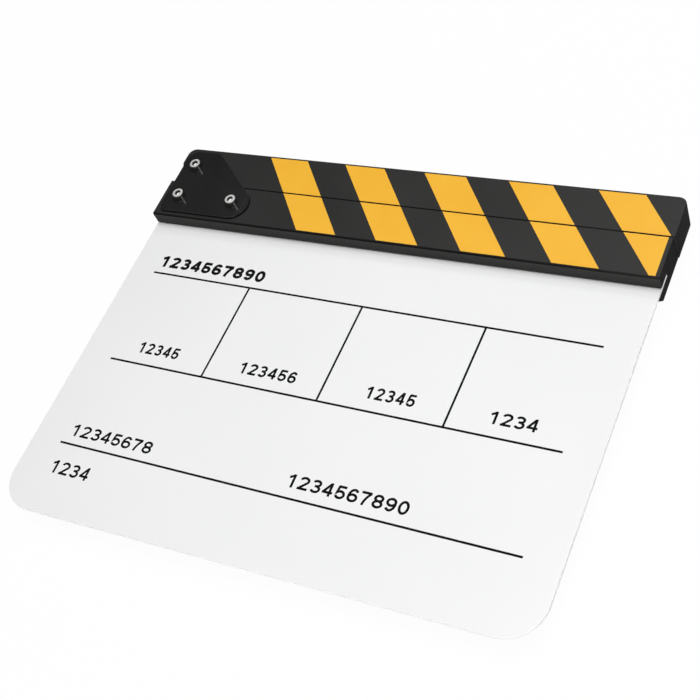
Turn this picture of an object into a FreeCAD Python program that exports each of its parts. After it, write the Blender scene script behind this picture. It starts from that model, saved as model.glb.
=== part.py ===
# Clapperboard lying on its back: X to the right, Y towards the sticks, Z out of the front.
# The origin is the middle of the board's bottom edge, on which the board also stands.
import FreeCAD, Part
import Sketcher
import os

stripe_count = 5
board_screw_count = 4
same_place = 1e-4

# Driving sizes: name, millimetres or degrees, what it is
driving_sizes = [
    ("board_width", 300.0, "writing board, left to right"),
    ("board_height", 199.2, "writing board, bottom edge to hidden top edge"),
    ("board_thick", 2.0, "writing board, front to back"),
    ("board_corner", 20.0, "radius of the lower corners"),
    ("stick_excess", 0.2, "both sticks longer than the board is wide"),
    ("stick_height", 25.2, "lower stick, across the stripes"),
    ("clapper_height", 25.4, "clapper, across the stripes"),
    ("stick_thick", 17.0, "lower stick, front to back"),
    ("stick_front", 9.0, "lower stick in front of the board"),
    ("stick_shift", 0.7, "lower stick to the right of the board's middle"),
    ("stick_corner", 5.0, "radius of the clapper's top corners"),
    ("edge_bevel", 0.3, "bevel of the sticks' front and rear edges"),
    ("lip_rise", 0.5, "slanted lower front edge of the lower stick, upwards"),
    ("lip_depth", 1.2, "slanted lower front edge of the lower stick, front to back"),
    ("clap_gap", 0.4, "between the closed sticks"),
    ("clapper_shift", 0.5, "clapper to the right of the lower stick"),
    ("open_angle", 62.0, "clapper, closed to fully open"),
    ("slot_clear", 0.05, "board to slot wall, each side"),
    ("slot_end_clear", 0.2, "board to slot floor"),
    ("slot_web", 0.8, "wall between slot floor and plate screws"),
    ("slot_mouth", 1.0, "bevel round the front wall of the slot, where the board enters"),
    ("flange_drop", 5.2, "rear flange below the front of the lower stick"),
    ("flange_bevel", 4.4, "height of the bevel under the rear flange"),
    ("flange_land", 0.7, "flat under the rear flange, next to the board"),
    ("plate_thick", 1.5, "hinge plates"),
    ("plate_inset", 3.5, "hinge plates inside the ends of the sticks"),
    ("plate_margin", 10.3, "screw centre to the edges of the hinge plates"),
    ("plate_slope", 40.0, "slanted edge of the hinge plates, below level"),
    ("plate_top_round", 7.0, "hinge plates, top left corner"),
    ("plate_slant_round", 3.0, "hinge plates, top of the slanted edge"),
    ("plate_low_round", 3.5, "hinge plates, lower left corner"),
    ("plate_gap", 0.3, "clapper to each hinge plate"),
    ("screw_spread", 36.3, "between the two plate screws"),
    ("pivot_rise", 9.85, "pivot above the clapper's lower edge"),
    ("screw_size", 4.0, "cap screws, outside the thread"),
    ("screw_clear", 0.05, "cap screws to their holes, all round"),
    ("head_size", 7.0, "cap screws, head diameter"),
    ("head_height", 4.0, "cap screws, head"),
    ("head_bevel", 0.5, "cap screws, rim of the head"),
    ("socket_size", 3.0, "cap screws, hexagon across flats"),
    ("socket_depth", 2.2, "cap screws, hexagon"),
    ("tip_bevel", 0.5, "cap screws, end of the thread"),
    ("nut_size", 7.0, "lock nuts, across flats"),
    ("nut_height", 5.0, "lock nuts, with collar"),
    ("nut_hex_height", 3.4, "lock nuts, hexagon alone"),
    ("collar_size", 6.4, "lock nuts, collar diameter"),
    ("collar_bevel", 0.8, "lock nuts, rim of the collar"),
    ("sleeve_size", 6.0, "pivot sleeve, outside diameter"),
    ("running_clear", 0.05, "clapper's bore to the pivot sleeve, all round"),
    ("washer_size", 12.0, "slip washers, outside diameter"),
    ("washer_thick", 0.75, "slip washers"),
    ("washer_clear", 0.05, "slip washers to hinge plate, seat wall and sleeve"),
    ("board_screw_size", 3.0, "board screws, outside the thread"),
    ("board_screw_head", 5.6, "board screws, head diameter"),
    ("board_screw_grip", 5.0, "board screws into the front of the lower stick"),
    ("board_screw_tip", 1.2, "board screws, point"),
    ("board_screw_start", 31.0, "first board screw to the rear hinge plate's right end"),
    ("board_screw_inset", 13.5, "last board screw to the lower stick's right end"),
    ("board_screw_clear", 0.05, "board screws to their holes, all round"),
    ("board_socket_size", 2.0, "board screws, hexagon across flats"),
    ("board_socket_depth", 1.4, "board screws, hexagon"),
    ("stripe_start", 77.4, "lower stick's left end to the first stripe, at the gap"),
    ("stripe_tail", 25.6, "last stripe's left edge to the lower stick's right end, at the gap"),
    ("stripe_lean", 39.2, "stripes, from square across the stick"),
    ("stripe_margin", 0.4, "stripes inside the long edges of the sticks"),
    ("stripe_top_margin", 1.3, "upper stripes inside the clapper's top edge"),
    ("stripe_end", 2.3, "stripes inside the ends of the sticks"),
    ("stripe_thick", 0.15, "stripes, foil"),
]

# Places that follow from the sizes
derived_places = [
    ("board_front", "size.board_thick / 2"),
    ("slot_front", "board_front + size.slot_clear"),
    ("front_face", "board_front + size.stick_front"),
    ("rear_face", "front_face - size.stick_thick"),
    ("hole_size", "size.screw_size + 2 * size.screw_clear"),
    ("slot_depth", "size.stick_height / 2 - hole_size / 2 - size.slot_web"),
    ("slot_floor", "size.board_height + size.slot_end_clear"),
    ("stick_low", "slot_floor - slot_depth"),
    ("stick_top", "stick_low + size.stick_height"),
    ("stick_length", "size.board_width + size.stick_excess"),
    ("stick_left", "size.stick_shift - stick_length / 2"),
    ("stick_right", "stick_left + stick_length"),
    ("clapper_low", "stick_top + size.clap_gap"),
    ("clapper_top", "clapper_low + size.clapper_height"),
    ("clapper_left", "stick_left + size.clapper_shift"),
    ("clapper_right", "clapper_left + stick_length"),
    ("clapper_front", "front_face - size.plate_gap"),
    ("clapper_rear", "rear_face + size.plate_gap"),
    ("flange_low", "stick_low - size.flange_drop"),
    ("plate_left", "stick_left + size.plate_inset"),
    ("screw_left", "plate_left + size.plate_margin"),
    ("screw_right", "screw_left + size.screw_spread"),
    ("screw_row", "stick_low + size.stick_height / 2"),
    ("pivot_height", "clapper_low + size.pivot_rise"),
    ("plate_low", "screw_row - size.plate_margin"),
    ("plate_top", "clapper_top - size.plate_inset"),
    ("plate_front", "front_face + size.plate_thick"),
    ("plate_rear", "rear_face - size.plate_thick"),
    ("screw_length", "plate_front - plate_rear + size.nut_height"),
    ("clapper_bore", "size.sleeve_size + 2 * size.running_clear"),
    ("washer_bore", "size.sleeve_size + 2 * size.washer_clear"),
    ("washer_seat", "size.washer_size + 2 * size.washer_clear"),
    ("washer_seat_depth", "size.washer_thick + size.washer_clear - size.plate_gap"),
    ("flange_thick", "-slot_front - rear_face"),
    ("board_screw_length", "2 * slot_front + flange_thick + size.board_screw_grip"),
    ("board_screw_row", "size.board_height - (slot_depth - size.slot_end_clear) / 2"),
    ("board_screw_first", "screw_right + size.plate_margin + size.board_screw_start"),
    ("board_screw_last", "stick_right - size.board_screw_inset"),
    ("board_screw_pitch", f"(board_screw_last - board_screw_first) / {board_screw_count - 1}"),
    ("gap_middle", "stick_top + size.clap_gap / 2"),
    ("lower_stripe_low", "stick_low + size.lip_rise + size.stripe_margin"),
    ("lower_stripe_top", "stick_top - size.stripe_margin"),
    ("upper_stripe_low", "clapper_low + size.stripe_margin"),
    ("upper_stripe_top", "clapper_top - size.stripe_top_margin"),
    ("stripe_pitch", f"(stick_length - size.stripe_start - size.stripe_tail) / {stripe_count - 1}"),
    ("stripe_width", "stripe_pitch / 2"),
]

doc = FreeCAD.newDocument("clapperboard")
size = doc.addObject("Spreadsheet::Sheet", "size")
for row, (name, millimetres, meaning) in enumerate(driving_sizes, start=1):
    size.set(f"A{row}", name)
    size.set(f"B{row}", str(millimetres))
    size.set(f"C{row}", meaning)
    size.setAlias(f"B{row}", name)
place = doc.addObject("Spreadsheet::Sheet", "place")
for row, (name, formula) in enumerate(derived_places, start=1):
    place.set(f"A{row}", name)
    place.set(f"B{row}", "=" + formula)
    place.setAlias(f"B{row}", name)
doc.recompute()

pieces = []


def number(expression):
    return float(size.evalExpression(expression))


def add_piece(kind, label):
    piece = doc.addObject(kind, label)
    piece.Label = label
    pieces.append(piece)
    return piece


def set_place(piece, x="0", y="0", z="0"):
    for axis, expression in zip("xyz", (x, y, z)):
        piece.setExpression(f"Placement.Base.{axis}", expression)


def add_sketch(body, name, role, x="0", y="0", z="0"):
    # A sketch on one of the body's own planes, moved within that plane's axes
    sketch = body.newObject("Sketcher::SketchObject", name)
    plane = next(item for item in body.Origin.OriginFeatures if item.Role == role)
    sketch.AttachmentSupport = [(plane, "")]
    sketch.MapMode = "FlatFace"
    for axis, expression in zip("xyz", (x, y, z)):
        sketch.setExpression(f"AttachmentOffset.Base.{axis}", expression)
    return sketch


def bind(sketch, constraint, name, expression):
    index = sketch.addConstraint(constraint)
    sketch.renameConstraint(index, name)
    sketch.setExpression(f"Constraints.{name}", expression)


def bind_point(sketch, line, end, x, y):
    for kind, expression in (("DistanceX", x), ("DistanceY", y)):
        constraint = Sketcher.Constraint(kind, -1, 1, line, end, number(expression))
        bind(sketch, constraint, f"{kind}_{line}_{end}", expression)


def draw_polygon(sketch, corners):
    points = [FreeCAD.Vector(number(x), number(y), 0) for x, y in corners]
    lines = []
    for here, there in zip(points, points[1:] + points[:1]):
        lines.append(sketch.addGeometry(Part.LineSegment(here, there)))
    for line, following in zip(lines, lines[1:] + lines[:1]):
        sketch.addConstraint(Sketcher.Constraint("Coincident", line, 2, following, 1))
    for line, (x, y) in zip(lines, corners):
        bind_point(sketch, line, 1, x, y)


def draw_hexagon(sketch, across_flats):
    corners = []
    for turn in range(0, 360, 60):
        corners.append((f"{across_flats} / sqrt(3) * cos({turn} deg)",
                        f"{across_flats} / sqrt(3) * sin({turn} deg)"))
    draw_polygon(sketch, corners)


def draw_circle(sketch, diameter, x="0", y="0"):
    centre = FreeCAD.Vector(number(x), number(y), 0)
    across = number(diameter)
    circle = sketch.addGeometry(Part.Circle(centre, FreeCAD.Vector(0, 0, 1), across / 2))
    bind_point(sketch, circle, 3, x, y)
    bind(sketch, Sketcher.Constraint("Diameter", circle, across), f"across_{circle}", diameter)


def add_feature(body, kind, sketch, name, length=None, side="One side", turned=False):
    # A pad or pocket, through everything where no length is given
    feature = body.newObject(f"PartDesign::{kind}", name)
    feature.Profile = sketch
    feature.SideType = side
    feature.Reversed = turned
    if length:
        feature.setExpression("Length", length)
    else:
        feature.Type = "ThroughAll"
    doc.recompute()
    if kind == "Pocket" and not feature.Shape.Volume < feature.BaseFeature.Shape.Volume:
        raise RuntimeError(f"{body.Label}: {name} removes nothing")
    return feature


def spin_feature(body, kind, sketch, name):
    # A revolution or groove about the sketch's upright axis
    feature = body.newObject(f"PartDesign::{kind}", name)
    feature.Profile = sketch
    feature.ReferenceAxis = (sketch, ["V_Axis"])
    feature.Angle = 360
    doc.recompute()
    return feature


def repeat_along_x(body, name, originals, step, count):
    # Copies of features, or of the whole body, at even steps along X
    pattern = body.newObject("PartDesign::LinearPattern", name)
    pattern.Originals = originals
    if not originals:
        pattern.TransformMode = "Whole shape"
    axis = next(item for item in body.Origin.OriginFeatures if item.Role == "X_Axis")
    pattern.Direction = (axis, [""])
    pattern.setExpression("Length", f"{step} * {count - 1}")
    pattern.Occurrences = count
    body.Tip = pattern
    doc.recompute()
    return pattern


def find_edges(feature, wanted):
    # Names of the edges whose end points all satisfy the given test
    names = []
    for index, edge in enumerate(feature.Shape.Edges, start=1):
        if all(wanted(vertex.Point) for vertex in edge.Vertexes):
            names.append(f"Edge{index}")
    return names


def round_corner(body, feature, name, x, y, radius):
    # Rounds the upright edge over one corner of an outline
    corner = FreeCAD.Vector(number(x), number(y), 0)

    def over_corner(point):
        return (FreeCAD.Vector(point.x, point.y, 0) - corner).Length < same_place

    rounding = body.newObject("PartDesign::Fillet", name)
    rounding.Base = (feature, find_edges(feature, over_corner))
    rounding.setExpression("Radius", radius)
    doc.recompute()
    return rounding


def bevel_face(body, feature, name, level, width, kept_sharp=None):
    # Bevels all edges of the face that lies level at one height, but not the edge at a given y
    height = number(level)

    def at_level(point):
        return abs(point.z - height) < same_place

    edges = find_edges(feature, at_level)
    if kept_sharp:
        sharp_y = number(kept_sharp)
        sharp_edges = find_edges(feature, lambda point: abs(point.y - sharp_y) < same_place)
        edges = [edge for edge in edges if edge not in sharp_edges]
    bevel = body.newObject("PartDesign::Chamfer", name)
    bevel.Base = (feature, edges)
    bevel.setExpression("Size", width)
    doc.recompute()
    return bevel


def board_screw_x(index):
    return f"place.board_screw_first + {index} * place.board_screw_pitch"


def make_board():
    body = add_piece("PartDesign::Body", "board")
    half = "size.board_width / 2"
    outline = add_sketch(body, "board_outline", "XY_Plane")
    draw_polygon(outline, [(f"-{half}", "0"), (half, "0"),
                           (half, "size.board_height"), (f"-{half}", "size.board_height")])
    sheet = add_feature(body, "Pad", outline, "board_sheet", "size.board_thick", "Symmetric")
    for side, x in (("left", f"-{half}"), ("right", half)):
        sheet = round_corner(body, sheet, f"board_{side}_corner", x, "0", "size.board_corner")
    holes = add_sketch(body, "board_holes", "XY_Plane")
    for index in range(board_screw_count):
        draw_circle(holes, "size.board_screw_size + 2 * size.board_screw_clear",
                    board_screw_x(index), "place.board_screw_row")
    add_feature(body, "Pocket", holes, "board_drilling", side="Symmetric")


def draw_board_screw(sketch, clearance):
    # Half section of a countersunk screw, or of its hole with a clearance, head at the origin
    head = f"size.board_screw_head / 2 + {clearance}"
    shank = f"size.board_screw_size / 2 + {clearance}"
    cone = "(size.board_screw_head - size.board_screw_size) / 2"
    end = f"place.board_screw_length + {clearance}"
    draw_polygon(sketch, [("0", "0"), (head, "0"), (shank, cone),
                          (shank, f"{end} - size.board_screw_tip"), ("0", end)])


def make_lower_stick():
    body = add_piece("PartDesign::Body", "lower_stick")
    section = add_sketch(body, "lower_section", "YZ_Plane", z="size.stick_shift")
    draw_polygon(section, [
        ("place.stick_low", "place.slot_front"),
        ("place.stick_low", "place.front_face - size.lip_depth"),
        ("place.stick_low + size.lip_rise", "place.front_face"),
        ("place.stick_top", "place.front_face"),
        ("place.stick_top", "place.rear_face"),
        ("place.flange_low + size.flange_bevel", "place.rear_face"),
        ("place.flange_low", "-place.slot_front - size.flange_land"),
        ("place.flange_low", "-place.slot_front"),
        ("place.slot_floor", "-place.slot_front"),
        ("place.slot_floor", "place.slot_front")])
    bar = add_feature(body, "Pad", section, "lower_bar", "place.stick_length", "Symmetric")
    bar = bevel_face(body, bar, "lower_front_edges", "place.front_face", "size.edge_bevel")
    bar = bevel_face(body, bar, "lower_rear_edges", "place.rear_face", "size.edge_bevel")
    bevel_face(body, bar, "lower_slot_mouth", "place.slot_front", "size.slot_mouth", "place.slot_floor")
    holes = add_sketch(body, "lower_plate_holes", "XY_Plane")
    for x in ("place.screw_left", "place.screw_right"):
        draw_circle(holes, "place.hole_size", x, "place.screw_row")
    add_feature(body, "Pocket", holes, "lower_plate_drilling", side="Symmetric")
    sink = add_sketch(body, "lower_sink_section", "XZ_Plane", board_screw_x(0),
                      "place.rear_face", "-place.board_screw_row")
    draw_board_screw(sink, "size.board_screw_clear")
    hole = spin_feature(body, "Groove", sink, "lower_sink")
    repeat_along_x(body, "lower_sinks", [hole], "place.board_screw_pitch", board_screw_count)


def make_upper_stick():
    # The lower left corner follows a circle round the pivot, then a flat that lies
    # along the lower stick when the clapper is fully open
    body = add_piece("PartDesign::Body", "upper_stick")
    turned_low = "place.screw_left - size.pivot_rise * tan(size.open_angle * 0.5 deg)"
    reach = "(place.screw_left - place.clapper_left)"
    flat_rise = (f"({reach} * sin(size.open_angle * 1 deg) - size.pivot_rise)"
                 " / cos(size.open_angle * 1 deg)")
    flat_top = f"place.pivot_height + {flat_rise}"
    outline = add_sketch(body, "upper_outline", "XY_Plane", z="place.clapper_rear")
    draw_polygon(outline, [
        (turned_low, "place.clapper_low"),
        ("place.clapper_right", "place.clapper_low"),
        ("place.clapper_right", "place.clapper_top"),
        ("place.clapper_left", "place.clapper_top"),
        ("place.clapper_left", flat_top)])
    bar = add_feature(body, "Pad", outline, "upper_bar", "place.clapper_front - place.clapper_rear")
    bar = round_corner(body, bar, "upper_turning_end", turned_low, "place.clapper_low",
                       "size.pivot_rise")
    for side in ("left", "right"):
        bar = round_corner(body, bar, f"upper_{side}_corner", f"place.clapper_{side}",
                           "place.clapper_top", "size.stick_corner")
    bar = bevel_face(body, bar, "upper_front_edges", "place.clapper_front", "size.edge_bevel")
    bevel_face(body, bar, "upper_rear_edges", "place.clapper_rear", "size.edge_bevel")
    bore = add_sketch(body, "upper_bore", "XY_Plane")
    draw_circle(bore, "place.clapper_bore", "place.screw_left", "place.pivot_height")
    add_feature(body, "Pocket", bore, "upper_boring", side="Symmetric")
    for side, turned in (("front", False), ("rear", True)):
        seat = add_sketch(body, f"upper_{side}_seat", "XY_Plane", z=f"place.clapper_{side}")
        draw_circle(seat, "place.washer_seat", "place.screw_left", "place.pivot_height")
        add_feature(body, "Pocket", seat, f"upper_{side}_counterbore", "place.washer_seat_depth",
                    turned=turned)


def make_hinge_plate(label, rear):
    # The right end is round about the right screw, and the slanted edge touches that round
    body = add_piece("PartDesign::Body", label)
    slope = "(size.plate_slope * 1 deg)"
    low_right = f"place.screw_right + size.plate_margin * (1 + cos{slope}) / sin{slope}"
    slant_run = f"(size.plate_margin - (place.plate_top - place.screw_row) * cos{slope}) / sin{slope}"
    top_right = f"place.screw_right + {slant_run}"
    corners = [
        ("low_left", "place.plate_left", "place.plate_low", "size.plate_low_round"),
        ("low_right", low_right, "place.plate_low", "size.plate_margin"),
        ("top_right", top_right, "place.plate_top", "size.plate_slant_round"),
        ("top_left", "place.plate_left", "place.plate_top", "size.plate_top_round")]
    outline = add_sketch(body, f"{label}_outline", "XY_Plane")
    draw_polygon(outline, [(x, y) for _, x, y, _ in corners])
    plate = add_feature(body, "Pad", outline, f"{label}_sheet", "size.plate_thick")
    for corner, x, y, radius in corners:
        plate = round_corner(body, plate, f"{label}_{corner}", x, y, radius)
    holes = add_sketch(body, f"{label}_holes", "XY_Plane")
    draw_circle(holes, "place.hole_size", "place.screw_left", "place.screw_row")
    draw_circle(holes, "place.hole_size", "place.screw_right", "place.screw_row")
    draw_circle(holes, "place.hole_size", "place.screw_left", "place.pivot_height")
    add_feature(body, "Pocket", holes, f"{label}_drilling", side="Symmetric")
    set_place(body, z=rear)


def make_cap_screw(label, y, count=1):
    body = add_piece("PartDesign::Body", label)
    body.AllowCompound = True
    shank = "size.screw_size / 2"
    section = add_sketch(body, f"{label}_section", "XZ_Plane")
    draw_polygon(section, [
        ("0", "size.head_height"),
        ("size.head_size / 2 - size.head_bevel", "size.head_height"),
        ("size.head_size / 2", "size.head_height - size.head_bevel"),
        ("size.head_size / 2", "0"),
        (shank, "0"),
        (shank, "size.tip_bevel - place.screw_length"),
        (f"{shank} - size.tip_bevel", "-place.screw_length"),
        ("0", "-place.screw_length")])
    spin_feature(body, "Revolution", section, f"{label}_blank")
    socket = add_sketch(body, f"{label}_socket", "XY_Plane", z="size.head_height")
    draw_hexagon(socket, "size.socket_size")
    add_feature(body, "Pocket", socket, f"{label}_broaching", "size.socket_depth")
    if count > 1:
        repeat_along_x(body, f"{label}_row", [], "size.screw_spread", count)
    set_place(body, "place.screw_left", y, "place.plate_front")


def make_lock_nut(label, y, count=1):
    body = add_piece("PartDesign::Body", label)
    body.AllowCompound = True
    hexagon = add_sketch(body, f"{label}_hexagon", "XY_Plane")
    draw_hexagon(hexagon, "size.nut_size")
    add_feature(body, "Pad", hexagon, f"{label}_body", "size.nut_hex_height", turned=True)
    section = add_sketch(body, f"{label}_section", "XZ_Plane")
    draw_polygon(section, [
        ("0", "0"),
        ("size.collar_size / 2", "0"),
        ("size.collar_size / 2", "size.collar_bevel - size.nut_height"),
        ("size.collar_size / 2 - size.collar_bevel", "-size.nut_height"),
        ("0", "-size.nut_height")])
    spin_feature(body, "Revolution", section, f"{label}_collar")
    bore = add_sketch(body, f"{label}_bore", "XY_Plane")
    draw_circle(bore, "place.hole_size")
    add_feature(body, "Pocket", bore, f"{label}_boring", side="Symmetric")
    if count > 1:
        repeat_along_x(body, f"{label}_row", [], "size.screw_spread", count)
    set_place(body, "place.screw_left", y, "place.plate_rear")


def make_ring(label, outside, inside, thick, z):
    body = add_piece("PartDesign::Body", label)
    section = add_sketch(body, f"{label}_section", "XY_Plane")
    draw_circle(section, outside)
    draw_circle(section, inside)
    add_feature(body, "Pad", section, f"{label}_ring", thick)
    set_place(body, "place.screw_left", "place.pivot_height", z)


def make_board_screws():
    body = add_piece("PartDesign::Body", "board_screws")
    body.AllowCompound = True
    section = add_sketch(body, "board_screw_section", "XZ_Plane")
    draw_board_screw(section, "0")
    spin_feature(body, "Revolution", section, "board_screw_blank")
    socket = add_sketch(body, "board_screw_socket", "XY_Plane")
    draw_hexagon(socket, "size.board_socket_size")
    add_feature(body, "Pocket", socket, "board_screw_broaching", "size.board_socket_depth",
                turned=True)
    repeat_along_x(body, "board_screw_row", [], "place.board_screw_pitch", board_screw_count)
    set_place(body, board_screw_x(0), "place.board_screw_row", "place.rear_face")


def make_stripes(stick, left, face):
    # Slanted foils, cut off where they would pass the ends of the band that the stick's face leaves them
    low, high = f"place.{stick}_stripe_low", f"place.{stick}_stripe_top"
    band = doc.addObject("Part::Box", f"{stick}_band")
    band.setExpression("Length", "place.stick_length - 2 * size.stripe_end")
    band.setExpression("Width", f"{high} - {low}")
    band.setExpression("Height", "size.stripe_thick")
    set_place(band, f"{left} + size.stripe_end", low, face)
    for index in range(stripe_count):
        label = f"{stick}_stripe_{index + 1}"
        slab = doc.addObject("PartDesign::Body", f"{label}_slab")
        first = f"place.stick_left + size.stripe_start + {index} * place.stripe_pitch"
        corners = []
        for y, across in ((low, "0"), (low, "place.stripe_width"),
                          (high, "place.stripe_width"), (high, "0")):
            lean = f"(place.gap_middle - {y}) * tan(size.stripe_lean * 1 deg)"
            corners.append((f"{first} + {lean} + {across}", y))
        outline = add_sketch(slab, f"{label}_outline", "XY_Plane", z=face)
        draw_polygon(outline, corners)
        add_feature(slab, "Pad", outline, f"{label}_sheet", "size.stripe_thick")
        stripe = add_piece("Part::Common", label)
        stripe.Base = band
        stripe.Tool = slab
        doc.recompute()


make_board()
make_lower_stick()
make_upper_stick()
make_stripes("lower", "place.stick_left", "place.front_face")
make_stripes("upper", "place.clapper_left", "place.clapper_front")
make_hinge_plate("front_hinge_plate", "place.front_face")
make_hinge_plate("rear_hinge_plate", "place.plate_rear")
make_cap_screw("pivot_screw", "place.pivot_height")
make_cap_screw("plate_screws", "place.screw_row", 2)
make_lock_nut("pivot_lock_nut", "place.pivot_height")
make_lock_nut("plate_lock_nuts", "place.screw_row", 2)
make_ring("pivot_sleeve", "size.sleeve_size", "place.hole_size", "size.stick_thick", "place.rear_face")
make_ring("front_slip_washer", "size.washer_size", "place.washer_bore", "size.washer_thick",
          "place.clapper_front - place.washer_seat_depth")
make_ring("rear_slip_washer", "size.washer_size", "place.washer_bore", "size.washer_thick",
          "place.clapper_rear + place.washer_seat_depth - size.washer_thick")
make_board_screws()
doc.recompute()

for item in doc.Objects:
    if "Invalid" in item.State or "Error" in item.State:
        raise RuntimeError(f"{item.Label} failed: {item.State}")
for piece in pieces:
    if piece.Shape.isNull() or not piece.Shape.isValid():
        raise RuntimeError(f"{piece.Label} has no valid shape")

os.makedirs("parts", exist_ok=True)
for piece in pieces:
    piece.Shape.exportStep(f"parts/{piece.Label}.step")
    box = piece.Shape.BoundBox
    print(f"{piece.Label}: {len(piece.Shape.Solids)} solid(s), {piece.Shape.Volume:.2f} mm3, "
          f"x {box.XMin:.2f} to {box.XMax:.2f}, y {box.YMin:.2f} to {box.YMax:.2f}, "
          f"z {box.ZMin:.2f} to {box.ZMax:.2f}")
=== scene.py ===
import bpy
import numpy as np
from mathutils import Matrix, Vector


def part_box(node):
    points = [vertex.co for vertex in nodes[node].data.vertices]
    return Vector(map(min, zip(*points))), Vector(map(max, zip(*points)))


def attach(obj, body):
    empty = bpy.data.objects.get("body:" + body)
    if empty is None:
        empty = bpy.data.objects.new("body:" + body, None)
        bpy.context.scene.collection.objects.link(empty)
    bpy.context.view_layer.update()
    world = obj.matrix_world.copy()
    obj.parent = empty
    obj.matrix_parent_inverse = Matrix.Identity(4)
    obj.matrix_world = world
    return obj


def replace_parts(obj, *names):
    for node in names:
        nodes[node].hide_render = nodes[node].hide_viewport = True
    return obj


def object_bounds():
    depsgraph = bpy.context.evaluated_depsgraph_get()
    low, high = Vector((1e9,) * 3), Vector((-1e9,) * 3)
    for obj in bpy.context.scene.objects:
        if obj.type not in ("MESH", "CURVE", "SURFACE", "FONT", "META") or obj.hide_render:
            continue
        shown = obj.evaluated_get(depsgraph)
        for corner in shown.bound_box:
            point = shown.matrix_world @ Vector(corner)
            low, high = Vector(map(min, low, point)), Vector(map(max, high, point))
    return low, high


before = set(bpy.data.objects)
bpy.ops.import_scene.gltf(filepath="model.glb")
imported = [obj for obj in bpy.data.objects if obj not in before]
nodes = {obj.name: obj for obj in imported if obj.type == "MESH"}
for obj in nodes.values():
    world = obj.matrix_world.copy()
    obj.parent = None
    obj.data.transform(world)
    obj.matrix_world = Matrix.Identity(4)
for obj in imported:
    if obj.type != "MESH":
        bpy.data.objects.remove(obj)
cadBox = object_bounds()
mm = 0.001  # shapes are given in mm, the stage in m
print("frame loaded:", len(nodes), "nodes")

cameraSetup = {
    "place": (0.32136, -0.17725, 0.51507),
    "ahead": (-0.46637, 0.45018, -0.76147),
    "up": (-0.15164, 0.80738, 0.57021),
    "focalPixels": 1325.3,
    "framePixels": 700,
    "sensor": 36.0,
    "clip": (0.01, 50.0),
}


def addCamera(setup):
    data = bpy.data.cameras.new("photoCamera")
    data.sensor_width = setup["sensor"]
    data.lens = setup["sensor"] * setup["focalPixels"] / setup["framePixels"]
    data.clip_start, data.clip_end = setup["clip"]
    camera = bpy.data.objects.new("photoCamera", data)
    bpy.context.scene.collection.objects.link(camera)
    back = -Vector(setup["ahead"]).normalized()
    right = Vector(setup["up"]).cross(back).normalized()
    turn = Matrix((right, back.cross(right), back)).transposed()  # columns: right, up, back
    camera.matrix_world = Matrix.Translation(setup["place"]) @ turn.to_4x4()
    bpy.context.scene.camera = camera


addCamera(cameraSetup)
print("camera placed")


def addNode(tree, kind, **values):
    node = tree.nodes.new(kind)
    for key, value in values.items():
        setattr(node, key, value)
    return node


def feed(tree, value, socket):
    # another node's output is linked, a colour or a number is set
    if isinstance(value, bpy.types.NodeSocket):
        tree.links.new(value, socket)
    elif isinstance(value, tuple):
        socket.default_value = (*value, 1.0)
    else:
        socket.default_value = value


def startMaterial(name):
    material = bpy.data.materials.new(name)
    material.use_nodes = True
    tree = material.node_tree
    shader = tree.nodes["Principled BSDF"]
    place = addNode(tree, "ShaderNodeTexCoord").outputs["Object"]
    return material, tree, shader, place


def stretchPlace(tree, place, stretch, turn):
    mapping = addNode(tree, "ShaderNodeMapping")
    mapping.inputs["Scale"].default_value = stretch
    mapping.inputs["Rotation"].default_value = turn
    tree.links.new(place, mapping.inputs["Vector"])
    return mapping.outputs["Vector"]


def splitVector(tree, vector):
    parts = addNode(tree, "ShaderNodeSeparateXYZ")
    tree.links.new(vector, parts.inputs["Vector"])
    return parts.outputs


def addNoise(tree, place, scale, detail, rough=0.5):
    noise = addNode(tree, "ShaderNodeTexNoise")
    noise.inputs["Scale"].default_value = scale
    noise.inputs["Detail"].default_value = detail
    noise.inputs["Roughness"].default_value = rough
    tree.links.new(place, noise.inputs["Vector"])
    return noise.outputs["Fac"]


def remap(tree, value, low, high, fromLow=0.3, fromHigh=0.7):
    # from the range that noise mostly keeps to, unless another is given
    node = addNode(tree, "ShaderNodeMapRange")
    for key, number in (("From Min", fromLow), ("From Max", fromHigh), ("To Min", low), ("To Max", high)):
        node.inputs[key].default_value = number
    tree.links.new(value, node.inputs["Value"])
    return node.outputs["Result"]


def combine(tree, operation, one, two):
    node = addNode(tree, "ShaderNodeMath", operation=operation)
    feed(tree, one, node.inputs[0])
    feed(tree, two, node.inputs[1])
    return node.outputs[0]


def blendColours(tree, share, one, two):
    node = addNode(tree, "ShaderNodeMix", data_type="RGBA")
    tree.links.new(share, node.inputs["Factor"])
    feed(tree, one, node.inputs[6])
    feed(tree, two, node.inputs[7])
    return node.outputs[2]


def blendValues(tree, share, one, two):
    node = addNode(tree, "ShaderNodeMix")
    tree.links.new(share, node.inputs["Factor"])
    feed(tree, one, node.inputs["A"])
    feed(tree, two, node.inputs["B"])
    return node.outputs["Result"]


def facing(tree, axis, turn):
    # 1 on faces square to the axis, 0 on those along it, with a blend between the two cosines
    normal = splitVector(tree, addNode(tree, "ShaderNodeNewGeometry").outputs["Normal"])
    return remap(tree, combine(tree, "ABSOLUTE", normal[axis], 0.0), 0, 1, *turn)


def addBump(tree, shader, height, bump):
    strength, distance = bump
    node = addNode(tree, "ShaderNodeBump")
    node.inputs["Strength"].default_value = strength
    node.inputs["Distance"].default_value = distance
    tree.links.new(height, node.inputs["Height"])
    tree.links.new(node.outputs["Normal"], shader.inputs["Normal"])


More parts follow.
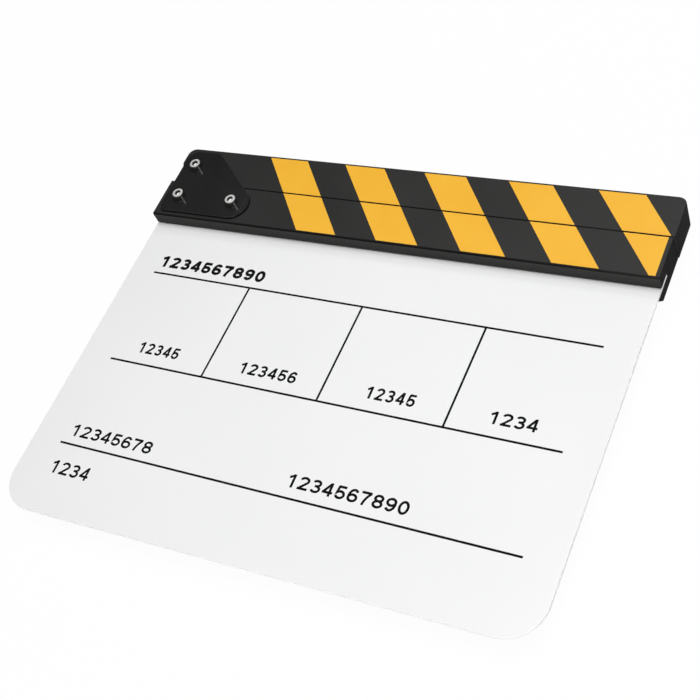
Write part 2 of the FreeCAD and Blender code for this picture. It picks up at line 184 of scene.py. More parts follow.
acrylicLook = {
    "pale": (0.90, 0.90, 0.90),
    "shade": (0.875, 0.877, 0.88),
    "patches": 9.0,
    "wipeStretch": (5.0, 160.0, 1.0),  # faint wiping marks across the board
    "wipeTurn": (0, 0, 0.35),
    "gloss": (0.16, 0.27),
    "face": (0.9, 0.99),  # cosines: the cut edge up to the first, the face from the second
    "cut": (0.55, 0.7),
    # painted light: the cut edges paler than the face, for light that glows out through them
    "cutPaintedLight": (0.96, 0.96, 0.96),
    "grain": 1400.0,
    "bump": (0.03, 0.00002),  # strength, depth in m
    "ior": 1.49,
}


def makeAcrylic(look):
    material, tree, shader, place = startMaterial("whiteAcrylic")
    patches = addNoise(tree, place, look["patches"], detail=3)
    wipes = addNoise(tree, stretchPlace(tree, place, look["wipeStretch"], look["wipeTurn"]), 1.0, detail=3)
    colour = blendColours(tree, remap(tree, patches, 0, 1), look["shade"], look["pale"])
    face = facing(tree, "Z", look["face"])
    # the cut edges get the painted light, the face its own patches
    tree.links.new(blendColours(tree, face, look["cutPaintedLight"], colour), shader.inputs["Base Color"])
    gloss = blendValues(tree, face, remap(tree, patches, *look["cut"]), remap(tree, wipes, *look["gloss"]))
    tree.links.new(gloss, shader.inputs["Roughness"])
    addBump(tree, shader, addNoise(tree, place, look["grain"], detail=1), look["bump"])
    shader.inputs["IOR"].default_value = look["ior"]
    return material


stickLook = {
    "dark": (0.014, 0.014, 0.0135),
    "light": (0.022, 0.022, 0.021),
    "grain": 2600.0,
    "cloud": 22.0,
    "gloss": (0.42, 0.54),  # front and rear faces
    "sawn": (0.82, 0.95),  # ends, top, underside and slanted edges
    "sawnPaintedLight": (1.15, 1.92),  # painted light: top and underside lightened, more from the board to the front
    "sawnDepth": (0.002, 0.009),  # m, from the board to the front, over which the painted light grows
    # painted shade: the sticks' ends darkened
    "endPaintedShade": 0.08,
    "edge": (0.004, 0.004, 0.004),  # painted shade: a dark line along the slanted edges
    "edgeShadeFade": (0.07, 0.16),  # m, along the stick: the painted shade on the slanted edges fades out from the first place to the second
    "specular": {"face": 0.36, "sawn": 0.3, "end": 0.18, "edge": 0.1},
    "squareTurn": (0.75, 0.95),  # cosines that tell faces and ends from the rest
    "slantTurn": (0.2, 0.32),  # and slanted edges, with the faces, from top and underside
    "bump": (0.12, 0.00003),
}


def makeStickBlack(look):
    material, tree, shader, place = startMaterial("satinBlack")
    grain = addNoise(tree, place, look["grain"], detail=2, rough=0.6)
    cloud = addNoise(tree, place, look["cloud"], detail=4)
    mottle = remap(tree, combine(tree, "MULTIPLY", combine(tree, "ADD", grain, cloud), 0.5), 0, 1)
    face, end = (facing(tree, axis, look["squareTurn"]) for axis in ("Z", "X"))
    slant = facing(tree, "Z", look["slantTurn"])
    # painted light and shade: lit copies of the stick's colour for the top and underside, a shaded copy for
    # the ends, then the plain colour
    tones = []
    for shade in (*look["sawnPaintedLight"], look["endPaintedShade"], 1.0):
        dark, light = (tuple(shade * v for v in look[tone]) for tone in ("dark", "light"))
        tones.append(blendColours(tree, mottle, dark, light))
    back, front, ends, plain = tones
    spot = splitVector(tree, place)
    # painted light on the top and underside, growing from the board to the front
    sawn = blendColours(tree, remap(tree, spot["Z"], 0, 1, *look["sawnDepth"]), back, front)
    # painted shade: the dark line on the slanted edges, fading out along the stick
    shadedEdge = blendColours(tree, remap(tree, spot["X"], 0, 1, *look["edgeShadeFade"]), look["edge"], plain)
    edged = blendColours(tree, slant, blendColours(tree, end, sawn, ends), shadedEdge)
    tree.links.new(blendColours(tree, face, edged, plain), shader.inputs["Base Color"])
    gloss = blendValues(tree, face, remap(tree, cloud, *look["sawn"]), remap(tree, cloud, *look["gloss"]))
    tree.links.new(gloss, shader.inputs["Roughness"])
    level = look["specular"]
    shine = blendValues(tree, end, level["sawn"], level["end"])
    shine = blendValues(tree, slant, shine, level["edge"])
    shine = blendValues(tree, face, shine, level["face"])
    tree.links.new(shine, shader.inputs["Specular IOR Level"])
    addBump(tree, shader, grain, look["bump"])
    return material


foilLook = {
    "deep": (0.90, 0.46, 0.029),
    "bright": (0.93, 0.495, 0.037),
    "patches": 34.0,
    "grain": 3200.0,
    "gloss": (0.42, 0.52),
    "specular": 0.36,
    "bump": (0.06, 0.00002),
}


def makeFoil(look):
    material, tree, shader, place = startMaterial("yellowFoil")
    patches = addNoise(tree, place, look["patches"], detail=3)
    colour = blendColours(tree, remap(tree, patches, 0, 1), look["deep"], look["bright"])
    tree.links.new(colour, shader.inputs["Base Color"])
    tree.links.new(remap(tree, patches, *look["gloss"]), shader.inputs["Roughness"])
    addBump(tree, shader, addNoise(tree, place, look["grain"], detail=1), look["bump"])
    shader.inputs["Specular IOR Level"].default_value = look["specular"]
    return material


plateLook = {
    "dark": (0.0145, 0.0145, 0.0145),
    "light": (0.0205, 0.0205, 0.0205),
    "cloud": 30.0,
    "peel": 420.0,
    "rubStretch": (260.0, 14.0, 40.0),
    "rubTurn": (0, 0, 0.7),
    "gloss": (0.06, 0.12),
    # painted shade: the plate's cut sides darker than the face
    "edge": (0.003, 0.003, 0.003),
    "face": (0.3, 0.7),  # cosines: the edge up to the first, the face from the second
    "bump": (0.05, 0.00005),
}


def makePlateBlack(look):
    material, tree, shader, place = startMaterial("glossBlack")
    cloud = addNoise(tree, place, look["cloud"], detail=3)
    rubs = addNoise(tree, stretchPlace(tree, place, look["rubStretch"], look["rubTurn"]), 1.0, detail=2)
    colour = blendColours(tree, remap(tree, cloud, 0, 1), look["dark"], look["light"])
    # painted shade on the plate's sides
    colour = blendColours(tree, facing(tree, "Z", look["face"]), look["edge"], colour)
    tree.links.new(colour, shader.inputs["Base Color"])
    tree.links.new(remap(tree, rubs, *look["gloss"]), shader.inputs["Roughness"])
    addBump(tree, shader, addNoise(tree, place, look["peel"], detail=2), look["bump"])
    return material


metalLook = {
    "brightSteel": {
        "dark": (0.88, 0.87, 0.85), "light": (0.98, 0.975, 0.955), "gloss": (0.5, 0.62), "grain": 1800.0,
    },
    "blackSteel": {
        "dark": (0.03, 0.03, 0.032), "light": (0.07, 0.07, 0.07), "gloss": (0.35, 0.5), "grain": 1500.0,
    },
    "turnedBrass": {
        "dark": (0.60, 0.42, 0.17), "light": (0.72, 0.54, 0.26), "gloss": (0.2, 0.35), "grain": 1500.0,
    },
    "paintedShadeBlack": (0.012, 0.012, 0.012),  # painted shade in the socket, on the rim and down the head's side, where the dark plate is mirrored
    "polish": 0.88,  # share of the roughness that a polished side loses
    "bump": (0.05, 0.00002),
}


def makeMetal(name, shared):
    look = shared[name]
    material, tree, shader, place = startMaterial(name)
    fine = addNoise(tree, place, look["grain"], detail=3, rough=0.6)
    bare = blendColours(tree, remap(tree, fine, 0, 1), look["dark"], look["light"])
    # both marks are 0 where a mesh has none
    paintedShadeShare, polish = (addNode(tree, "ShaderNodeAttribute", attribute_name=mark).outputs["Fac"]
                      for mark in ("paintedShadeShare", "polish"))
    # painted shade: the bare metal blended towards black by the first mark
    tree.links.new(blendColours(tree, paintedShadeShare, bare, shared["paintedShadeBlack"]), shader.inputs["Base Color"])
    kept = combine(tree, "SUBTRACT", 1.0, combine(tree, "MULTIPLY", polish, shared["polish"]))
    gloss = combine(tree, "MULTIPLY", remap(tree, fine, *look["gloss"]), kept)
    tree.links.new(gloss, shader.inputs["Roughness"])
    addBump(tree, shader, fine, shared["bump"])
    shader.inputs["Metallic"].default_value = 1.0
    return material


plainLook = {
    "paleNylon": {
        "dark": (0.74, 0.73, 0.68), "light": (0.80, 0.79, 0.75), "gloss": (0.4, 0.55), "grain": 700.0,
        "specular": 0.5,
    },
    "blackInk": {
        "dark": (0.003, 0.003, 0.003), "light": (0.006, 0.006, 0.006), "gloss": (0.7, 0.85), "grain": 900.0,
        "specular": 0.1,
    },
    "bump": (0.05, 0.00002),
}


def makePlain(name, shared):
    look = shared[name]
    material, tree, shader, place = startMaterial(name)
    fine = addNoise(tree, place, look["grain"], detail=3)
    colour = blendColours(tree, remap(tree, fine, 0, 1), look["dark"], look["light"])
    tree.links.new(colour, shader.inputs["Base Color"])
    tree.links.new(remap(tree, fine, *look["gloss"]), shader.inputs["Roughness"])
    addBump(tree, shader, fine, shared["bump"])
    shader.inputs["Specular IOR Level"].default_value = look["specular"]
    return material


whiteAcrylic = makeAcrylic(acrylicLook)
satinBlack = makeStickBlack(stickLook)
yellowFoil = makeFoil(foilLook)
glossBlack = makePlateBlack(plateLook)
brightSteel = makeMetal("brightSteel", metalLook)
blackSteel = makeMetal("blackSteel", metalLook)
turnedBrass = makeMetal("turnedBrass", metalLook)
paleNylon = makePlain("paleNylon", plainLook)
blackInk = makePlain("blackInk", plainLook)

nodeFinish = {
    "board": whiteAcrylic,
    "lower_stick": satinBlack,
    "upper_stick": satinBlack,
    "front_hinge_plate": glossBlack,
    "rear_hinge_plate": glossBlack,
    "pivot_screw": brightSteel,
    "plate_screws": brightSteel,
    "pivot_lock_nut": brightSteel,
    "plate_lock_nuts": brightSteel,
    "board_screws": blackSteel,
    "pivot_sleeve": turnedBrass,
    "front_slip_washer": paleNylon,
    "rear_slip_washer": paleNylon,
}
for name, node in nodes.items():
    node.data.materials.clear()
    node.data.materials.append(yellowFoil if "stripe" in name else nodeFinish[name])
print("finishes given to the", len(nodes), "nodes")

softEdge = {
    "nodes": ("front_hinge_plate", "rear_hinge_plate"),
    "width": 0.18,  # mm
    "segments": 3,
    "sharp": 40,  # degrees between two faces from which their edge is softened
    "flat": 0.5,  # degrees up to which neighbours are one flat face
    "weld": 0.001,  # mm
}


def softenEdges(shape):
    for name in shape["nodes"]:
        weld = nodes[name].modifiers.new("weld", "WELD")
        weld.merge_threshold = shape["weld"] * mm
        flat = nodes[name].modifiers.new("flat", "DECIMATE")
        flat.decimate_type = "DISSOLVE"
        flat.angle_limit = np.radians(shape["flat"])
        soft = nodes[name].modifiers.new("soft", "BEVEL")
        soft.width = shape["width"] * mm
        soft.segments = shape["segments"]
        soft.limit_method = "ANGLE"
        soft.angle_limit = np.radians(shape["sharp"])


softenEdges(softEdge)
print("edges softened")


def skinGrid(grid, loop):
    # rings of points, one after another along a path: quads join neighbours, and a middle point closes
    # each end unless the path is a loop
    rows, columns = grid.shape[:2]
    ring = np.arange(columns)
    after = np.roll(ring, -1)
    here = np.arange(rows if loop else rows - 1)[:, None] * columns
    there = (here + columns) % (rows * columns)
    quads = np.stack([here + ring, here + after, there + after, there + ring], -1).reshape(-1, 4)
    points = grid.reshape(-1, 3)
    if loop:
        return points, [quads]
    head, last = rows * columns, (rows - 1) * columns
    heads = np.stack([after, ring, np.full(columns, head)], -1)
    tails = np.stack([last + ring, last + after, np.full(columns, head + 1)], -1)
    return np.concatenate([points, [grid[0].mean(0), grid[-1].mean(0)]]), [quads, heads, tails]


def putMesh(name, shells, material, loops=(), marks=None):
    points, faces, first = [], [], 0
    for grid, loop in [(g, False) for g in shells] + [(g, True) for g in loops]:
        found, blocks = skinGrid(grid, loop)
        points.append(found)
        faces += [f for block in blocks for f in (block + first).tolist()]
        first += len(found)
    mesh = bpy.data.meshes.new(name)
    mesh.from_pydata(np.concatenate(points).tolist(), [], faces)
    mesh.materials.append(material)
    for mark, values in (marks or {}).items():
        mesh.attributes.new(mark, "FLOAT", "POINT").data.foreach_set("value", values.astype(np.float32))
    mesh.update()
    piece = bpy.data.objects.new(name, mesh)
    bpy.context.scene.collection.objects.link(piece)
    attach(piece, "slate")
    return piece


boardShape = {
    "corner": 20.0,
    "cornerSteps": 40,
    "edgeRound": 0.15,
    "edgeSteps": 5,
    "rightReach": 0.4,  # past the node's right side, nearer the end of the stick's slot
}


def boardRings(shape):
    # the outline, straight sides and two round lower corners, drawn in all round by a quarter circle at the
    # rear edge and another at the front edge
    low, high = (np.array(corner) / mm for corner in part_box("board"))
    turn = np.linspace(0, np.pi / 2, shape["edgeSteps"])
    drawn, rise = shape["edgeRound"] * (1 - np.sin(turn)), shape["edgeRound"] * (1 - np.cos(turn))
    level = np.concatenate([low[2] + rise, high[2] - rise[::-1]])[:, None]
    drawn = np.concatenate([drawn, drawn[::-1]])[:, None]
    left, right, corner = low[0], high[0] + shape["rightReach"], shape["corner"]
    angle = np.radians(np.linspace(-90, 0, shape["cornerSteps"]))
    across, down = (corner - drawn) * np.cos(angle), (corner - drawn) * np.sin(angle)
    head, foot = high[1] - drawn, low[1] + corner + down
    x = np.concatenate([right - corner + across, right - drawn,
                        left + drawn, left + corner - across[:, ::-1]], 1)
    y = np.concatenate([foot, head, head, foot[:, ::-1]], 1)
    return mm * np.stack([x, y, level + 0 * x], -1)


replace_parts(putMesh("board_panel", [boardRings(boardShape)], whiteAcrylic), "board")
print("board panel made")

screwShape = {
    "columns": 216,
    "ridges": 36,
    "ridgeDepth": 0.003,
    "headRadius": 3.5,
    "headHeight": 4.0,
    "socketHalf": 1.5,
    "socketDepth": 1.6,
    "drillRadius": 0.75,
    "drillDepth": 0.25,  # below the socket's floor
    "socket": [
        # share of socketHalf, height above the floor, painted shade
        (0.80, 0, 0.1), (0.97, 0, 0.8), (1, 0.06, 1), (1, 1.38, 0.9),
    ],
    "mouth": [
        # radius, depth below the top, painted shade
        (1.82, 0.02, 0.9), (1.88, 0, 0),
    ],
    "rim": [
        # inset from headRadius, depth below the top, ridges, painted shade, polish
        (0.70, 0, 0, 0, 0), (0.48, 0.03, 0, 0.3, 0), (0.26, 0.13, 0, 0.9, 0), (0.07, 0.32, 0, 0.95, 0),
        (0, 0.56, 0, 0.9, 0.5), (0, 0.66, 0.2, 0.5, 1), (0, 0.82, 1, 0.3, 1),
    ],
    "foot": [
        # inset from headRadius, height above the seat, ridges, painted shade, polish
        (0, 0.34, 1, 0.3, 1), (0, 0.18, 0.2, 0.4, 1), (0.04, 0.05, 0, 0.9, 1), (0.14, 0, 0, 1, 0),
    ],
    "shankRadius": 1.98,
    "neck": [
        # outset from shankRadius, depth below the seat, painted shade
        (0.02, 0, 0.3), (0, 0.05, 0.3),
    ],
    "threadPitch": 0.7,
    "threadDepth": 0.38,
    "threadLength": 9.0,
    "threadRows": 8,  # per turn
    # painted shade down the shank and the thread
    "threadDarkness": 0.2,
    "runOut": 0.4,  # from the plain shank to the thread
    "tip": 0.5,
    "tipFlat": 0.4,
}


def ringRows(radius, height, hexagon=0, ridges=0, thread=0, darkness=0, polish=0):
    # one row for each ring, and a single number holds for all of them
    columns = np.atleast_1d(radius, height, hexagon, ridges, thread, darkness, polish)
    return np.stack(np.broadcast_arrays(*columns), -1)


def screwProfile(shape, end):
    # the rings from the socket's floor to the tip, with heights from the head's top
    head, seat, shank = shape["headRadius"], -shape["headHeight"], shape["shankRadius"]
    floor = -shape["socketDepth"]
    parts = ("socket", "mouth", "rim", "foot", "neck")
    socket, mouth, rim, foot, neck = (np.array(shape[part]).T for part in parts)
    turns = (shape["threadLength"] - shape["tip"]) / shape["threadPitch"]
    cuts = np.linspace(end + shape["threadLength"], end + shape["tip"], int(turns * shape["threadRows"]))
    dark = shape["threadDarkness"]
    return np.concatenate([
        ringRows(shape["drillRadius"], floor - shape["drillDepth"]),
        ringRows(shape["socketHalf"] * socket[0], floor + socket[1], hexagon=1, darkness=socket[2]),
        ringRows(mouth[0], -mouth[1], darkness=mouth[2]),
        ringRows(head - rim[0], -rim[1], ridges=rim[2], darkness=rim[3], polish=rim[4]),
        ringRows(head - foot[0], seat + foot[1], ridges=foot[2], darkness=foot[3], polish=foot[4]),
        ringRows(shank + neck[0], seat - neck[1], darkness=neck[2]),
        ringRows(shank, end + shape["threadLength"] + shape["runOut"], darkness=dark),
        ringRows(shank, cuts, thread=1, darkness=dark),
        ringRows(np.array((shank - shape["tip"], shape["tipFlat"])), end)])


def screwRings(shape, x, y, top, bottom):
    # radius over height for each ring, from the socket's floor over the head and down the shank to the tip;
    # the socket follows a hexagon, the head's side a cosine of the angle, the thread a rising triangle wave
    profile = screwProfile(shape, (bottom - top) / mm)
    radius, level, hexagon, ridged, cut, darkness, polish = profile.T[:, :, None]
    angle = np.linspace(0, 2 * np.pi, shape["columns"], endpoint=False)[None, :]
    sixth = np.mod(angle + np.pi / 6, np.pi / 3) - np.pi / 6
    radius = radius * (1 + hexagon * (1 / np.cos(sixth) - 1))
    radius = radius - ridged * shape["ridgeDepth"] * (0.5 - 0.5 * np.cos(shape["ridges"] * angle))
    wave = np.mod(level / shape["threadPitch"] + angle / (2 * np.pi), 1)
    radius = radius - cut * shape["threadDepth"] * np.abs(2 * wave - 1)
    rings = np.stack([x + mm * radius * np.cos(angle), y + mm * radius * np.sin(angle),
                      top + mm * level + 0 * angle], -1)
    # marks per point: painted shade, dark in the socket, on the rim and down the head's side, and polish
    marks = [np.concatenate([np.repeat(mark[::-1], shape["columns"]), mark[-1], mark[0]])
             for mark in (darkness, polish)]
    return rings[::-1], marks


def screwPlaces(name, reach):
    # one place, or two at the ends of a row
    low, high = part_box(name)
    ends = [low.x + reach * mm, high.x - reach * mm]
    return ends[:1] if ends[1] - ends[0] < reach * mm else ends, (low.y + high.y) / 2


def addScrews(name, shape):
    low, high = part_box(name)
    across, middle = screwPlaces(name, shape["headRadius"])
    shells, marks = zip(*[screwRings(shape, x, middle, high.z, low.z) for x in across])
    marks = dict(zip(("paintedShadeShare", "polish"), np.concatenate(marks, axis=1)))
    piece = putMesh(name + "_cap", shells, brightSteel, marks=marks)
    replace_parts(piece, name)


for name in ("pivot_screw", "plate_screws"):
    addScrews(name, screwShape)
print("cap screws made")

nutShape = {
    "columns": 144,
    "halfFlats": 3.5,
    "nut": [
        # radius or, on the hexagon, its limit; depth below the seat; hexagon
        (2.06, 0.16, 0), (2.24, 0, 0), (3.28, 0, 0), (3.40, 0.03, 1), (3.62, 0.16, 1), (3.84, 0.30, 1),
        (4.05, 0.44, 1), (4.05, 2.94, 1), (3.84, 3.08, 1), (3.62, 3.22, 1), (3.42, 3.35, 1), (3.26, 3.40, 0),
        (3.20, 3.46, 0), (3.20, 4.10, 0), (3.15, 4.45, 0), (2.99, 4.76, 0), (2.76, 4.95, 0), (2.62, 5.0, 0),
        (2.50, 4.96, 0), (2.46, 4.86, 0), (2.46, 4.36, 0), (2.06, 4.36, 0),
    ],
    "insert": [
        (2.0, 4.46, 0), (2.06, 4.40, 0), (2.40, 4.40, 0), (2.44, 4.46, 0),
        (2.44, 4.76, 0), (2.36, 4.84, 0), (2.10, 4.84, 0), (2.0, 4.74, 0),
    ],
}


def nutRings(shape, profile, x, y, seat):
    # a closed profile carried round the axis; on the hexagon the radius is the smaller of its own limit and
    # the distance to the flats, which rounds off the corners as a cone does
    limit, depth, hexagon = np.array(profile).T[:, None, :]
    angle = np.linspace(0, 2 * np.pi, shape["columns"], endpoint=False)[:, None]
    sixth = np.mod(angle, np.pi / 3) - np.pi / 6  # corners to the left and right
    radius = np.where(hexagon > 0, np.minimum(limit, shape["halfFlats"] / np.cos(sixth)), limit)
    return np.stack([x + mm * radius * np.cos(angle), y + mm * radius * np.sin(angle),
                     seat - mm * depth + 0 * angle], -1)


def addLockNuts(name, screw, shape):
    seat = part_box(name)[1].z
    across, middle = screwPlaces(screw, screwShape["headRadius"])
    nuts, inserts = ([nutRings(shape, shape[part], x, middle, seat) for x in across]
                     for part in ("nut", "insert"))
    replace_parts(putMesh(name + "_collared", [], brightSteel, nuts), name)
    putMesh(name + "_insert", [], paleNylon, inserts)


addLockNuts("pivot_lock_nut", "pivot_screw", nutShape)
addLockNuts("plate_lock_nuts", "plate_screws", nutShape)
print("lock nuts made")

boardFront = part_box("board")[1].z

inkShape = {
    "sunk": 0.01,
    "flatTop": 0.94,  # share of the width that the bevels leave
    "upright": 0.7,  # share of the height below the bevels
}


def strokeRings(path, width, rise, loop=False):
    # a low bar with bevelled top edges carried along the path; at each point it stands square to the mean
    # of the runs before and after, and is widened there as a mitre is
    low, high = boardFront / mm - inkShape["sunk"], boardFront / mm + rise
    run = np.diff(np.concatenate([path, path[:1]]) if loop else path, axis=0)
    run = run / np.linalg.norm(run, axis=1, keepdims=True)
    before = np.roll(run, 1, axis=0) if loop else np.concatenate([run[:1], run])
    after = run if loop else np.concatenate([run, run[-1:]])
    mean = before + after
    side = 2 * np.stack([mean[:, 1], -mean[:, 0]], -1) / np.sum(mean * mean, 1, keepdims=True)
    edge = low + inkShape["upright"] * (high - low)
    top = inkShape["flatTop"] / 2
    profile = np.array([(-0.5, low), (-0.5, edge), (-top, high), (top, high), (0.5, edge), (0.5, low)])
    flat = path[:, None, :] + width * profile[None, :, :1] * side[:, None, :]
    return mm * np.concatenate([flat, np.broadcast_to(profile[None, :, 1:], (*flat.shape[:2], 1))], -1)


rulingShape = {
    "width": 1.18,
    "steps": 24,
    "lines": [
        # start, end, rise
        ((-133.75, 155.25), (133.2, 152.2), 0.03),
        ((-130.05, 95.6), (132.1, 92.75), 0.03),
        ((-131.55, 40.75), (131.55, 38.3), 0.03),
        ((-68.5, 154.4), (-69.5, 94.9), 0.026),
        ((2.1, 153.65), (1.2, 94.1), 0.026),
        ((72.45, 152.9), (71.5, 93.4), 0.026),
    ],
}


def addRuling(shape):
    shells = [strokeRings(np.linspace(start, end, shape["steps"]), shape["width"], rise)
              for start, end, rise in shape["lines"]]
    putMesh("ruled_lines", shells, blackInk)


addRuling(rulingShape)
print("ruled lines drawn")

numeralShape = {
    "rises": (0.03, 0.026, 0.022),  # one for each stroke of a digit, so that none lies level with another
    "slope": -0.0106,  # with the ruling
    "gap": 0.16,  # between digits, for a height of 1
    "waist": 0.52,
    "steps": 28,
    "places": [
        # digits, left, right, foot, top, stroke
        ("1234567890", -133.2, -62.7, 159.4, 167.0, 1.85),
        ("12345", -116.3, -89.5, 102.3, 109.2, 1.3),
        ("123456", -50.1, -15.2, 101.4, 108.3, 1.3),
        ("12345", 25.1, 52.7, 100.9, 108.0, 1.3),
        ("1234", 91.8, 116.7, 100.1, 107.1, 1.3),
        ("12345678", -128.7, -75.8, 45.4, 52.5, 1.3),
        ("1234", -129.0, -103.6, 22.7, 30.2, 1.3),
        ("1234567890", 5.7, 72.0, 45.0, 52.3, 1.35),
    ],
}


def arcPath(middle, radii, start, end, steps):
    # part of an ellipse, from one angle to another
    angle = np.radians(np.linspace(start, end, steps))
    return np.stack([middle[0] + radii[0] * np.cos(angle), middle[1] + radii[1] * np.sin(angle)], -1)


def bendPath(start, pull, end, steps):
    # a parabola from start to end that leans towards the point between them
    share = np.linspace(0, 1, steps)[:, None]
    start, pull, end = np.array(start), np.array(pull), np.array(end)
    return (1 - share) ** 2 * start + 2 * share * (1 - share) * pull + share ** 2 * end


def digitPaths(digit, wide, half, waist, steps):
    # the middle lines of one digit's strokes in a box of height 1: open ones, then rings
    across, top = wide / 2, 1 - half
    reach = across - half
    upper, lower = (across, (top + waist) / 2), (across, (waist + half) / 2)
    upperBow, lowerBow = (0.92 * reach, (top - waist) / 2), (reach, (waist - half) / 2)
    bowl, belly, crown = 0.325, 0.335, 0.70  # middles of the rounds of 6, 5 and 2
    mast, post, bar = 0.62 * wide, 0.72 * wide, 0.285  # the uprights of 1 and 4, and the bar of 4
    notch = (0.36 * wide, waist)  # between the bows of 3

    def bow(middle, radii, start, end):
        return arcPath(middle, radii, start, end, steps)

    def ring(middle, radii):
        return arcPath(middle, radii, 0, 360 * (1 - 1 / (2 * steps)), 2 * steps)

    def six(turn):
        # turned round its middle it is a 9
        hip, lean = 0.45, 0.03  # the middle of the stem's bow
        stem = bow((across + lean, hip), (reach + lean, 1 - hip - half), 180, 42)
        stem = np.concatenate([[(half, bowl)], stem])
        middle = np.array((across, 0.5))
        paths = stem, ring((across, bowl), (reach, bowl - half))
        return [[middle + turn * (path - middle)] for path in paths]

    return {
        "0": lambda: ([], [ring((across, 0.5), (reach, 0.5 - half))]),
        "1": lambda: ([
            np.array([(mast, 0), (mast, 1)]),
            bendPath((0.14 * wide, 0.735), (0.44 * wide, 0.81), (0.60 * wide, 1 - 0.5 * half), steps)], []),
        "2": lambda: ([
            np.concatenate([bow((across, crown), (reach, 1 - crown - half), 170, -32),
                            [(1.2 * half, half)]]),
            np.array([(0, half), (wide, half)])], []),
        "3": lambda: ([
            np.concatenate([bow(upper, upperBow, 158, -90), [notch]]),
            np.concatenate([[notch], bow(lower, lowerBow, 90, -158)])], []),
        "4": lambda: ([
            np.array([(post, 0), (post, 1)]),
            np.array([(0, bar), (wide, bar)]),
            np.array([(0.9 * half, bar), (post - 0.2 * half, 1 - 0.48 * half)])], []),
        "5": lambda: ([
            np.array([(0.18 * wide, top), (0.94 * wide, top)]),
            np.concatenate([[(0.26 * wide, 1 - 0.6 * half)],
                            bow((across, belly), (reach, belly - half), 145, -160)])], []),
        "6": lambda: six(1),
        "7": lambda: ([
            np.array([(0, top), (0.96 * wide, top)]),
            bendPath((0.92 * wide, top), (0.45 * wide, 0.55), (0.36 * wide, 0), steps)], []),
        "8": lambda: ([], [ring(upper, upperBow), ring(lower, lowerBow)]),
        "9": lambda: six(-1),
    }[digit]()


def addNumerals(shape):
    for index, (digits, left, right, foot, head, stroke) in enumerate(shape["places"], start=1):
        tall = head - foot
        step = (right - left + shape["gap"] * tall) / len(digits)
        wide, half = step / tall - shape["gap"], stroke / tall / 2
        shells = {False: [], True: []}
        for count, digit in enumerate(digits):
            found = digitPaths(digit, wide, half, shape["waist"], shape["steps"])
            strokes = [(path, loop) for loop, paths in zip((False, True), found) for path in paths]
            for (path, loop), rise in zip(strokes, shape["rises"]):
                path = path * tall + (left + count * step, foot)
                path = path + shape["slope"] * (path[:, :1] - (left + right) / 2) * np.array((0, 1))
                shells[loop].append(strokeRings(path, stroke, rise, loop))
        putMesh(f"field_number_{index}", shells[False], blackInk, shells[True])


addNumerals(numeralShape)
print("field numbers drawn")

stageSetup = {
    "floorSize": 6.0,
    "floorPoints": 9,  # along each side
    "floorDrop": 0.0002,  # below the object
    "floorColour": (0.9, 0.9, 0.9),
    "ownWhite": 0.96,  # share of the floor that the camera sees as plain white
    "mirroredWhite": 0.2,  # the same share in reflections
    "ambient": 0.03,
    "aim": (0.0, 0.1, 0.0),
    "lamps": [
        # place, width and height, watts, name
        ((0.33, 0.12, 1.5), (1.5, 1.5), 22.4, "overheadSoftbox"),
        ((-0.6, 0.6, 1.4), (1.2, 1.2), 2.2, "leftBackFill"),
        ((0.0, 1.3, 1.4), (0.5, 0.5), 2.9, "backFill"),
        ((0.3, -1.1, 0.22), (0.9, 0.36), 5.5, "frontFill"),
        ((1.03, -0.17, 1.03), (0.6, 0.5), 1.4, "rightFill"),
    ],
}


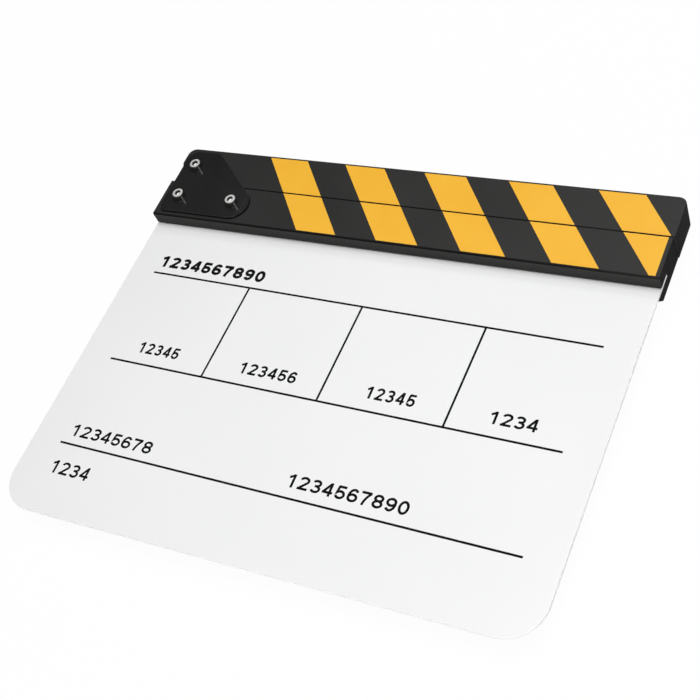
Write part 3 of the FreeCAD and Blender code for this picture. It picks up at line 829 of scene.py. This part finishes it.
def makePaleFloor(setup):
    material = bpy.data.materials.new("paleFloor")
    material.use_nodes = True
    tree = material.node_tree
    tree.nodes.clear()
    paint = addNode(tree, "ShaderNodeBsdfDiffuse")
    feed(tree, setup["floorColour"], paint.inputs["Color"])
    white = addNode(tree, "ShaderNodeEmission")
    rays = addNode(tree, "ShaderNodeLightPath").outputs
    mirrored = combine(tree, "MAXIMUM", rays["Is Glossy Ray"], rays["Is Transmission Ray"])
    mirrored = combine(tree, "MULTIPLY", mirrored, setup["mirroredWhite"])
    seen = combine(tree, "MULTIPLY", rays["Is Camera Ray"], setup["ownWhite"])
    top = addNode(tree, "ShaderNodeMixShader")
    tree.links.new(combine(tree, "MAXIMUM", seen, mirrored), top.inputs[0])
    tree.links.new(paint.outputs[0], top.inputs[1])
    tree.links.new(white.outputs[0], top.inputs[2])
    clear = addNode(tree, "ShaderNodeBsdfTransparent")
    sides = addNode(tree, "ShaderNodeMixShader")  # open from below
    tree.links.new(addNode(tree, "ShaderNodeNewGeometry").outputs["Backfacing"], sides.inputs[0])
    tree.links.new(top.outputs[0], sides.inputs[1])
    tree.links.new(clear.outputs[0], sides.inputs[2])
    out = addNode(tree, "ShaderNodeOutputMaterial")
    tree.links.new(sides.outputs[0], out.inputs["Surface"])
    return material


def addFloor(setup):
    # a level square grid
    half, count = setup["floorSize"] / 2, setup["floorPoints"]
    steps = np.linspace(-half, half, count)
    flat = np.stack(np.meshgrid(steps, steps, indexing="xy"), -1).reshape(-1, 2)
    points = np.c_[flat, np.full(len(flat), cadBox[0].z - setup["floorDrop"])]
    corner = (np.arange(count - 1)[:, None] * count + np.arange(count - 1)).ravel()
    faces = np.stack([corner, corner + 1, corner + count + 1, corner + count], -1).tolist()
    mesh = bpy.data.meshes.new("studioFloor")
    mesh.from_pydata(points.tolist(), [], faces)
    mesh.materials.append(makePaleFloor(setup))
    floor = bpy.data.objects.new("studioFloor", mesh)
    bpy.context.scene.collection.objects.link(floor)


def addSky(setup):
    # faint to the object, plain white to the camera
    world = bpy.data.worlds.new("studioSky")
    world.use_nodes = True
    bpy.context.scene.world = world
    tree = world.node_tree
    tree.nodes.clear()
    rays = addNode(tree, "ShaderNodeLightPath")
    soft = addNode(tree, "ShaderNodeBackground")
    soft.inputs["Strength"].default_value = setup["ambient"]
    white = addNode(tree, "ShaderNodeBackground")
    mix = addNode(tree, "ShaderNodeMixShader")
    tree.links.new(rays.outputs["Is Camera Ray"], mix.inputs[0])
    tree.links.new(soft.outputs[0], mix.inputs[1])
    tree.links.new(white.outputs[0], mix.inputs[2])
    out = addNode(tree, "ShaderNodeOutputWorld")
    tree.links.new(mix.outputs[0], out.inputs["Surface"])


def addLamps(setup):
    for place, size, watts, name in setup["lamps"]:
        data = bpy.data.lights.new(name, "AREA")
        data.shape = "ELLIPSE"
        data.size, data.size_y = size
        data.energy = watts
        lamp = bpy.data.objects.new(name, data)
        bpy.context.scene.collection.objects.link(lamp)
        away = Vector(place) - Vector(setup["aim"])
        lamp.matrix_world = Matrix.Translation(place) @ away.to_track_quat("Z", "Y").to_matrix().to_4x4()


addFloor(stageSetup)
addSky(stageSetup)
addLamps(stageSetup)
bpy.context.scene.view_settings.view_transform = "Standard"
print("stage lit")
